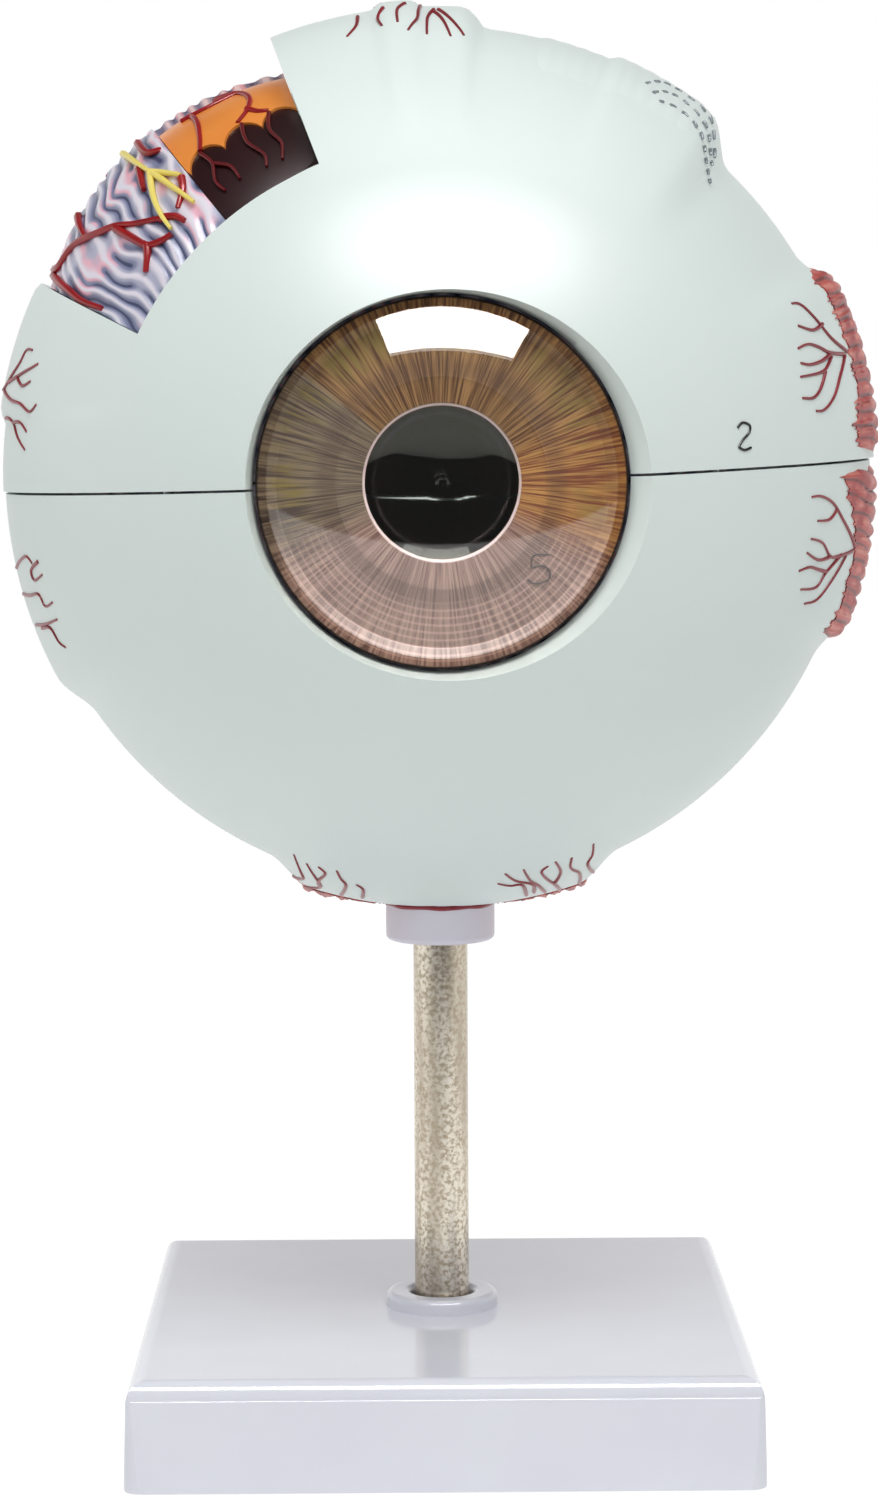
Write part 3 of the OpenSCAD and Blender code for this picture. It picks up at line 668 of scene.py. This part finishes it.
brush_strokes("vessels_on_lower_coat", "lower_half", coat_surface(lower_pads, 0.02 * MM),
              lower_trees, 0.74 * MM, 0.55, vein_red)

# ------------------------------------------------------------------ grey marks and the number 2
# A mesh of short grey dashes on the oblique tendon, and the number of the piece, both in ink.
grey_ink = gloss_paint("grey_marking_ink", "#7e868a", "#989fa4", 3 * MM)
black_ink = gloss_paint("black_marking_ink", "#101010", "#1c1c1c", 3 * MM)
dash_lines = [
    [(62, 72), (60.5, 76), (58.3, 78), (55.5, 77.6), (52.8, 75.2), (50.6, 72.1), (48.4, 70)],
    [(61, 69.6), (59.6, 72.4), (57.6, 73.8), (55, 73), (52.3, 70.9), (50.3, 69), (48.6, 68.2)],
    [(59.4, 69), (57.1, 70), (54.3, 69.4), (51.9, 67.6), (50, 66.2), (48.2, 65.6), (46.9, 64.6)],
]
dashes = []
for row, line in enumerate(dash_lines):
    path = rounded_path(line, 3)
    for i in range(row % 2, len(path) - 1, 2):
        (a0, p0), (a1, p1) = path[i], path[i + 1]
        dashes.append([(a0, p0), ((a0 + a1) / 2, (p0 + p1) / 2 + 0.15), (a1, p1)])
brush_strokes("grey_dashes", "upper_half", coat_surface(upper_pads, 0.35 * MM), dashes,
              0.6 * MM, 0.8, grey_ink)
number_two = [[(10, 41.6), (10.7, 42.7), (9.9, 43.9), (8.6, 43.5), (7.5, 42.2), (6.3, 41.3)],
              [(6.3, 41.3), (5.6, 42.3), (5.9, 43.6)]]
brush_strokes("number_2", "upper_half", on_upper_coat, number_two, 0.5 * MM, 0.9, black_ink)

# ------------------------------------------------------------------ panels in the window
# Glued mouldings that show the layers under the white coat: the vessel coat with its whorls, red
# vessels and yellow nerve, and a step deeper the orange retina with its dark scalloped skirt.
window_mid = (sum(window_azimuth) / 2, sum(window_polar) / 2)
panel_rise = 5 * MM
panel_curve_r = 49 * MM
panel_step = 1.8 * MM
retina_curve_r = 51.2 * MM
skirt_step = 0.5 * MM
retina_azimuth = 129.4
retina_back = 88
panel_gap = 0.12
scallop_from = 129
scallop_pitch = 6.2
scallop_front = 61.2
scallop_depth = 3.6


def bulge_point(azimuth, polar, rise, curve_r, proud=0):
    """A point on the ball that bulges out of the globe in the middle of the window."""
    direction = toward(azimuth, polar)
    ball = toward(*window_mid) * (globe_r + rise - curve_r)
    along = direction.dot(ball)
    return direction * (along + math.sqrt(along ** 2 - ball.length_squared + curve_r ** 2) + proud)


def scallop_polar(azimuth):
    """Front edge of the orange: a row of arches, with points between them."""
    arch = abs(math.sin(math.pi * (azimuth - scallop_from) / scallop_pitch))
    return scallop_front + scallop_depth * arch ** 0.6 + 0.12 * (retina_azimuth - azimuth)


def window_panel(name, azimuths, polar_from, polar_to, rise, curve_r, material, relief=0, hole=None):
    start, end = azimuths[0] + panel_gap, azimuths[1] - panel_gap

    def angles_at(point):
        azimuth = at_place((start, end), point.x)
        return azimuth, at_place((polar_from(azimuth), polar_to), point.y)

    bm = bmesh.new()
    bmesh.ops.create_grid(bm, x_segments=int((end - start) * 5), y_segments=140, size=0.5)
    groove = bm.verts.layers.float.new("groove")
    if hole:
        # The step beside the deeper panel follows whole rows of the grid
        gone = []
        for face in bm.faces:
            azimuth, polar = angles_at(face.calc_center_median())
            if azimuth < hole[0] and polar < hole[1]:
                gone.append(face)
        bmesh.ops.delete(bm, geom=gone, context="FACES")
    outside = set(bm.verts)
    bmesh.ops.extrude_face_region(bm, geom=bm.faces[:], use_keep_orig=True)
    for corner in bm.verts:
        azimuth, polar = angles_at(corner.co)
        if corner in outside:
            corner[groove] = stripe_at(azimuth, polar)
            floor_point = bulge_point(azimuth, polar, rise, curve_r, -corner[groove] * relief)
            corner.co = floor_point.normalized() * max(floor_point.length, coat_in_r + 0.4 * MM)
        else:
            corner.co = toward(azimuth, polar) * (coat_in_r + 0.05 * MM)
    piece = new_piece(name, finish_mesh(bm, name, 50), material)
    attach(piece, "upper_half")


def front_edge(azimuth):
    return window_polar[0] + panel_gap


def whorl_finish(name, relief=None):
    """Pink and lilac paint with slate strokes, painted highlights on the crests and painted shadow lines in
    the grooves. They follow the relief where the piece has one.
    """
    material, shader = new_material(name, Roughness=0.32, IOR=1.5)
    place = add(material, "ShaderNodeTexCoord")["Object"]
    if relief:
        stripes = add(material, "ShaderNodeAttribute", attribute_name=relief)["Fac"]
    else:
        turned = add(material, "ShaderNodeMapping", {
            "Vector": place, "Rotation": (0, math.radians(-46.5), 0)})[0]
        bands = add(material, "ShaderNodeTexWave", {
            "Vector": turned, "Scale": math.pi / (10 * lining_pitch), "Distortion": 13.0, "Detail": 1.0,
            "Detail Scale": 0.75, "Detail Roughness": 0.4}, bands_direction="Z")["Fac"]
        fading = add(material, "ShaderNodeTexNoise", {"Vector": place, "Scale": 1 / (14 * MM)})[0]
        fade_mask = add(material, "ShaderNodeMapRange", {
            "Value": fading, "From Min": 0.38, "From Max": 0.52, "To Min": 0.4})[0]
        stripes = add(material, "ShaderNodeMath", {0: bands, 1: fade_mask}, operation="MULTIPLY")[0]
    cloud = add(material, "ShaderNodeTexNoise", {"Vector": place, "Scale": 1 / (9 * MM), "Detail": 1.5})[0]
    cloud_mask = add(material, "ShaderNodeMapRange", {"Value": cloud, "From Min": 0.5, "From Max": 0.6})[0]
    tone = add(material, "ShaderNodeMix", {
        0: cloud_mask, 6: colour("#b3b4ca"), 7: colour("#efb6c6")}, data_type="RGBA")[2]
    # A pale painted highlight on the crests, slate bands, and a thin dark painted shadow line in each groove
    for start, full, ink in ((0.28, 0.04, "#e9e3ee"), (0.38, 0.72, "#8286a6"), (0.86, 0.98, "#454b6c")):
        mask = add(material, "ShaderNodeMapRange", {"Value": stripes, "From Min": start, "From Max": full})[0]
        tone = add(material, "ShaderNodeMix", {0: mask, 6: tone, 7: colour(ink)}, data_type="RGBA")[2]
    furrows = add(material, "ShaderNodeBump", {"Height": stripes, "Strength": -0.3, "Distance": 0.3 * MM})[0]
    join(shader, Base_Color=tone, Normal=furrows)
    return material


lining_pitch = 4.2 * MM
stripe_deg = 2.6


def stripe_at(azimuth, polar):
    """0 on the crests of the choroid's relief, and 1 in the grooves between them."""
    sway = noise.noise(Vector((azimuth * 0.09, polar * 0.1, 4.2))) * 3.4
    sway += noise.noise(Vector((azimuth * 0.3, polar * 0.22, 8.1))) * 1.1
    groove = 0.5 + 0.5 * math.cos(math.tau * (azimuth + sway + 0.16 * (polar - 70)) / stripe_deg)
    strength = smooth(-0.45, 0.05, noise.noise(Vector((azimuth * 0.16, polar * 0.2, 2.5))))
    return groove * (0.35 + 0.65 * strength)


orange_paint = gloss_paint("orange_retina_paint", "#e8832c", "#f7a04a", 12 * MM)
skirt_paint = gloss_paint("dark_maroon_paint", "#1e0508", "#340a10", 9 * MM)
window_panel("window_vessel_coat", window_azimuth, front_edge, window_polar[1] - panel_gap,
             panel_rise, panel_curve_r, whorl_finish("window_choroid_paint", "groove"), 0.5 * MM,
             (retina_azimuth, retina_back))
window_panel("window_retina_relief", (window_azimuth[0], retina_azimuth), scallop_polar,
             retina_back - panel_gap, panel_rise - panel_step, retina_curve_r, orange_paint)
window_panel("window_skirt_relief", (window_azimuth[0], retina_azimuth), front_edge, 72,
             panel_rise - panel_step - skirt_step, retina_curve_r, skirt_paint)


def panel_surface(rise, curve_r, proud):
    return lambda azimuth, polar: EYE + bulge_point(azimuth, polar, rise, curve_r, proud)


seat_line_r = 9.45 * MM
seat_z = 89.5 * MM
seat_wave = 0.09 * MM
brush_strokes("red_line_at_seat", "lower_half",
              lambda turn, z: Vector((seat_line_r * math.cos(turn), seat_line_r * math.sin(turn), z)),
              [[(math.tau * i / 24, seat_z + (i % 3 - 1) * seat_wave) for i in range(25)]],
              0.9 * MM, 1, vein_red)
artery_red = gloss_paint("blood_red_paint", "#7c0a10", "#b3141a", 4 * MM)
dress("inferior_oblique", gloss_paint("plain_flesh_red_paint", "#9c2c2b", "#bd4c44", 3 * MM))
nerve_yellow = gloss_paint("primrose_nerve_paint", "#ecd65a", "#fbea86", 5 * MM)
choroid_strokes = [
    [(151.6, 82), (150.9, 77.5), (147.5, 73.6), (144.5, 68.1), (141.9, 64.4), (139.8, 60.9), (136.8, 57.7)],
    [(136.8, 57.7), (135, 56), (134.4, 54.2)],
    [(142.1, 64.1), (141.7, 59.8), (141.1, 56.6), (139.1, 55), (137.4, 54.4)],
    [(141.1, 56.6), (142.6, 55.4), (144.6, 54.4)],
    [(144, 80), (144.7, 76.1), (145.6, 71)],
    [(152.3, 80), (152.9, 70), (153.4, 64.6), (153, 59.5)],
    [(131.9, 78), (131.8, 71.4), (130.2, 69.2)],
    [(133.9, 69), (135.5, 64.3)],
    [(130.4, 60.4), (131.4, 58.4), (133.8, 56.6)],
    [(137.5, 90), (139, 98), (143, 106)],
    [(139, 98), (134, 104), (131, 111)],
    [(124, 92), (126, 100), (121, 108)],
]
brush_strokes("window_choroid_vessels", "upper_half",
              panel_surface(panel_rise, panel_curve_r, 0.1 * MM), choroid_strokes, 1.6 * MM, 0.6, artery_red)
nerve_strokes = [
    [(134.2, 78), (133.7, 70), (133.1, 65)],
    [(133.1, 65.4), (131.3, 62.2), (130.2, 60.4)],
    [(133.1, 65.4), (132.3, 60), (131.4, 55)],
    [(133.2, 65.4), (135.2, 61), (136.3, 57.5), (136.8, 54.6)],
]
brush_strokes("window_nerve", "upper_half", panel_surface(panel_rise, panel_curve_r, 0.6 * MM),
              nerve_strokes, 1.3 * MM, 0.55, nerve_yellow)
on_retina_panel = panel_surface(panel_rise - panel_step, retina_curve_r, 0.05 * MM)
retina_strokes = [
    [(124.4, 80), (124.1, 73.5), (124.9, 68), (126, 64.6)],
    [(120.6, 84), (117.4, 78.5), (116.4, 73), (117.4, 69), (119.4, 66.4)],
    [(117.4, 69.4), (116.2, 67.4), (114.8, 66.6)],
    [(125.8, 79), (121.6, 78), (118, 79)],
]
brush_strokes("window_retina_vessels", "upper_half", on_retina_panel, retina_strokes,
              1.2 * MM, 0.7, artery_red)
faint_red = gloss_paint("faint_capillary_paint", "#540a10", "#74101a", 5 * MM)
faint_strokes = [
    [(126.2, 64), (125.6, 60.5), (126.8, 57), (126.4, 54.6)],
    [(119, 65.6), (119.6, 61), (118.2, 57), (118.8, 54.8)],
    [(114.8, 66), (115.8, 61.6), (115, 58), (116, 55)],
    [(125.6, 60.5), (123.6, 58), (123.4, 55)],
]
brush_strokes("window_capillaries", "upper_half", on_retina_panel, faint_strokes,
              0.8 * MM, 0.6, faint_red)

# ------------------------------------------------------------------ optic nerve
# The nerve's stump at the back: a buff sheath, the yellow nerve, and its red and blue vessels.
dress("nerve_sheath", gloss_paint("buff_sheath_paint", "#d9c49a", "#ead9b4", 7 * MM))
dress("optic_nerve", gloss_paint("yellow_nerve_paint", "#d8b64a", "#e8cb68", 3 * MM))
dress("central_artery", artery_red)
dress("central_vein", gloss_paint("blue_vein_paint", "#1f3f94", "#2f56b4", 4 * MM))

# ------------------------------------------------------------------ linings
# Vessel coat and retina as nested half bowls, painted outside and inside, with the dark skirt and
# the ridged ciliary ring in front. The vessels are painted on by hand.
whorl_paint = whorl_finish("pink_and_slate_choroid_paint")
for half in ("upper", "lower"):
    dress(f"choroid_{half}", whorl_paint)
    dress(f"retina_{half}", orange_paint)
    dress(f"ciliary_{half}", gloss_paint(f"ciliary_umber_paint_{half}", "#2c1210", "#5a2a1e", 2 * MM))
    dress(f"ciliary_skirt_{half}", skirt_paint)

choroid_out_r = 68.2 * MM
retina_in_r = 64.8 * MM


def ball_surface(radius):
    return lambda azimuth, polar: EYE + toward(azimuth, polar) * radius


whorl_veins = [
    [(60, 140), (58, 120), (50, 104), (46, 90), (49, 76), (44, 60)],
    [(58, 120), (68, 106), (74, 92), (71, 78), (78, 62)],
    [(50, 104), (36, 98), (28, 88), (24, 74), (28, 58)],
    [(68, 106), (84, 102), (98, 92), (100, 78), (94, 64)],
    [(49, 76), (58, 66), (59, 56)],
    [(28, 88), (14, 84), (8, 72), (11, 60)],
    [(140, 136), (136, 118), (148, 100), (154, 84), (148, 66)],
    [(148, 100), (162, 94), (170, 82), (166, 68)],
]
arcades = [
    [(172, 163), (140, 150), (104, 138), (74, 120), (62, 100), (56, 84)],
    [(120, 144), (118, 126), (108, 108), (104, 88)],
    [(74, 120), (86, 104), (88, 84)],
    [(174, 158), (160, 138), (154, 116), (148, 92), (146, 80)],
    [(154, 116), (136, 104), (128, 86)],
    [(140, 150), (60, 152), (30, 138), (24, 116), (26, 96)],
]
for kind, surface, strokes, width, tip in (
        ("choroid_veins", ball_surface(choroid_out_r - 0.12 * MM), whorl_veins, 1.5 * MM, 0.5),
        ("retina_vessels", ball_surface(retina_in_r + 0.1 * MM), arcades, 0.9 * MM, 0.4)):
    mirrored = [[(360 - azimuth, polar) for azimuth, polar in stroke] for stroke in strokes]
    brush_strokes(f"{kind}_upper", "upper_lining", surface, strokes, width, tip, artery_red)
    brush_strokes(f"{kind}_lower", "lower_lining", surface, mirrored, width, tip, artery_red)


# ------------------------------------------------------------------ vitreous body, lens and cornea
# Blow-moulded and cast parts in clear acrylic, polished. Light for the shadows passes straight
# through them, so that what lies behind stays lit.
def clear_acrylic(name, tint, roughness, shade="#ffffff", ior=1.49):
    material, shader = new_material(name, Base_Color=colour(tint), Roughness=roughness, IOR=ior)
    shader.inputs["Transmission Weight"].default_value = 1
    place = add(material, "ShaderNodeTexCoord")["Object"]
    swirl = add(material, "ShaderNodeTexNoise", {"Vector": place, "Scale": 1 / (18 * MM)})[0]
    sink = add(material, "ShaderNodeBump", {"Height": swirl, "Strength": 0.02, "Distance": 0.3 * MM})[0]
    join(shader, Normal=sink)
    straight = add(material, "ShaderNodeBsdfTransparent", {"Color": colour(shade)})[0]
    shadow = add(material, "ShaderNodeLightPath")["Is Shadow Ray"]
    mixed = add(material, "ShaderNodeMixShader", {0: shadow, 1: shader.outputs[0], 2: straight})[0]
    join(material.node_tree.nodes["Material Output"], Surface=mixed)
    return material


def round_sight_line(material):
    """Where a point lies round the line of sight, in mm."""
    place = add(material, "ShaderNodeTexCoord")["Object"]
    return add(material, "ShaderNodeMapping", {
        "Vector": place, "Location": (0, 0, -EYE.z / MM), "Scale": (1 / MM, 0, 1 / MM)})[0]


# The walls of the hollow vitreous body are thin and blurred, so it mirrors less than solid acrylic
vitreous_acrylic = clear_acrylic("clear_vitreous_acrylic", "#f2f8f8", 0.03, "#9c9c9c", 1.3)
dress("vitreous_bowl", vitreous_acrylic)
dress("vitreous_face", vitreous_acrylic)
dress("lens", clear_acrylic("clear_lens_acrylic", "#f6f6ee", 0.02, "#8c8c8c"))
cornea_acrylic = clear_acrylic("clear_cornea_acrylic", "#fbfbfa", 0.0)
dress("cornea", cornea_acrylic)
# The cornea is cemented to the iris at its foot, and the joint shows the print straight
foot_radius = add(cornea_acrylic, "ShaderNodeVectorMath", {
    0: round_sight_line(cornea_acrylic)}, operation="LENGTH")["Value"]
cement_mask = add(cornea_acrylic, "ShaderNodeMapRange", {
    "Value": foot_radius, "From Min": 27.2, "From Max": 27.5})[0]
cement = add(cornea_acrylic, "ShaderNodeBsdfTransparent", {"Color": colour("#f4f1ee")})[0]
cornea_output = cornea_acrylic.node_tree.nodes["Material Output"]
dome = cornea_output.inputs["Surface"].links[0].from_socket
whole_cornea = add(cornea_acrylic, "ShaderNodeMixShader", {0: cement_mask, 1: dome, 2: cement})[0]
join(cornea_output, Surface=whole_cornea)

# ------------------------------------------------------------------ iris
# A moulded ring behind the cornea with printed fibres: grey-brown at the nose side, olive and amber above,
# orange at the temple side and pinkish below, where fine rings show. The amber above is darker than the
# orange partly as painted shade under the overhang and a painted dark reflection.
iris_print, iris_shader = new_material("satin_printed_iris", Roughness=0.45, IOR=1.5)
iris_centred = round_sight_line(iris_print)
iris_radius = add(iris_print, "ShaderNodeVectorMath", {0: iris_centred}, operation="LENGTH")["Value"]
iris_ray = add(iris_print, "ShaderNodeVectorMath", {0: iris_centred}, operation="NORMALIZE")["Vector"]
ray_parts = add(iris_print, "ShaderNodeSeparateXYZ", {0: iris_ray})
radial_slide = add(iris_print, "ShaderNodeMath", {0: iris_radius, 1: 0.1}, operation="MULTIPLY")[0]
fibres_round = 400


def along_fibres(count, seed):
    """Noise that runs in streaks from the pupil to the rim."""
    spread = add(iris_print, "ShaderNodeVectorMath", {
        0: iris_ray, 1: (count / math.tau,) * 3}, operation="MULTIPLY")["Vector"]
    parts = add(iris_print, "ShaderNodeSeparateXYZ", {0: spread})
    shifted = add(iris_print, "ShaderNodeMath", {0: radial_slide, 1: seed}, operation="ADD")[0]
    at = add(iris_print, "ShaderNodeCombineXYZ", {0: parts["X"], 1: shifted, 2: parts["Z"]})[0]
    return add(iris_print, "ShaderNodeTexNoise", {"Vector": at, "Scale": 1.0, "Detail": 2.0})[0]


# The amber patch ends in a straight cut at the upper nose side
cut_turn = add(iris_print, "ShaderNodeVectorMath", {
    0: iris_ray, 1: (0.62, 0, 0.78)}, operation="DOT_PRODUCT")["Value"]
ring_pitch = 1.15
ring_turn = add(iris_print, "ShaderNodeMath", {
    0: iris_radius, 1: math.tau / ring_pitch}, operation="MULTIPLY")[0]
ring_wave = add(iris_print, "ShaderNodeMath", {0: ring_turn}, operation="SINE")[0]
# Where the inks lie: what each mask reads, where it starts and where it is full. Radii are in mm
ink_places = {
    "fine fibres": (along_fibres(fibres_round, 0.0), 0.33, 0.67),
    "broad fibres": (along_fibres(fibres_round / 5, 9.0), 0.38, 0.62),
    "temple side": (ray_parts["X"], 0.35, 0.85),
    "top": (ray_parts["Z"], 0.15, 0.6),
    "past the cut": (cut_turn, -0.02, 0.03),
    "bottom": (ray_parts["Z"], -0.25, -0.6),
    "above the bottom": (ray_parts["Z"], -0.45, -0.05),
    "outer half": (iris_radius, 19, 23),
    "short of the rim": (iris_radius, 28, 25),
    "ring crests": (ring_wave, 0.2, 1.0),
    "ringed part": (iris_radius, 17, 20),
    "outside the collarette": (iris_radius, 15.5, 17.2),
    "short of the rings": (iris_radius, 20.5, 18.2),
    "glue line": (iris_radius, 28.75, 28.95),
    "edge of the pupil": (iris_radius, 12.45, 12.25),
}
ink_masks = {}
for place, (reading, start, full) in ink_places.items():
    ink_masks[place] = add(iris_print, "ShaderNodeMapRange", {
        "Value": reading, "From Min": start, "From Max": full}, interpolation_type="SMOOTHSTEP")[0]
# The inks from the first printed to the last: between the fibres, on them, strength and places
inks = [
    ("#50423a", "#8a7860", 1, []),
    ("#743822", "#bd8a48", 1, ["temple side"]),
    # The darker amber at the top is partly painted shade under the overhang and a painted dark reflection
    ("#573720", "#a17a4c", 1, ["top", "past the cut"]),
    ("#76574e", "#a98a7c", 1, ["bottom"]),
    ("#85743a", "#85743a", 1, [
        "outer half", "short of the rim", "broad fibres", "above the bottom", "fine fibres"]),
    ("#e0b8a8", "#e0b8a8", 0.35, ["ring crests", "ringed part", "bottom"]),
    ("#4a3428", "#4a3428", 0.35, ["outside the collarette", "short of the rings"]),
    ("#1c1412", "#1c1412", 1, ["glue line"]),
    ("#ecd6d2", "#ecd6d2", 1, ["edge of the pupil"]),
]
iris_tone = colour("#ffffff")
for groove_ink, fibre_ink, share, places in inks:
    ink = add(iris_print, "ShaderNodeMix", {
        0: ink_masks["fine fibres"], 6: colour(groove_ink), 7: colour(fibre_ink)}, data_type="RGBA")[2]
    for place in places:
        share = add(iris_print, "ShaderNodeMath", {0: share, 1: ink_masks[place]}, operation="MULTIPLY")[0]
    iris_tone = add(iris_print, "ShaderNodeMix", {0: share, 6: iris_tone, 7: ink}, data_type="RGBA")[2]
fibre_relief = add(iris_print, "ShaderNodeBump", {
    "Height": ink_masks["fine fibres"], "Strength": 0.25, "Distance": 0.15 * MM})[0]
join(iris_shader, Base_Color=iris_tone, Normal=fibre_relief)
dress("iris", iris_print)

# The number of the piece, scratched faintly into the print
number_five = [[(16.6, -11.2), (14.2, -11.3), (13.8, -13.2)],
               [(13.8, -13.2), (15.6, -12.9), (16.7, -13.9), (16.2, -15.2), (14.2, -15.6), (13.2, -15)]]
iris_face_depth = 62.7 * MM
brush_strokes("number_5", "cornea", lambda x, z: EYE + Vector((x * MM, -iris_face_depth, z * MM)),
              number_five, 0.34 * MM, 0.9, gloss_paint("umber_marking_ink", "#40302c", "#57443e", 2 * MM))
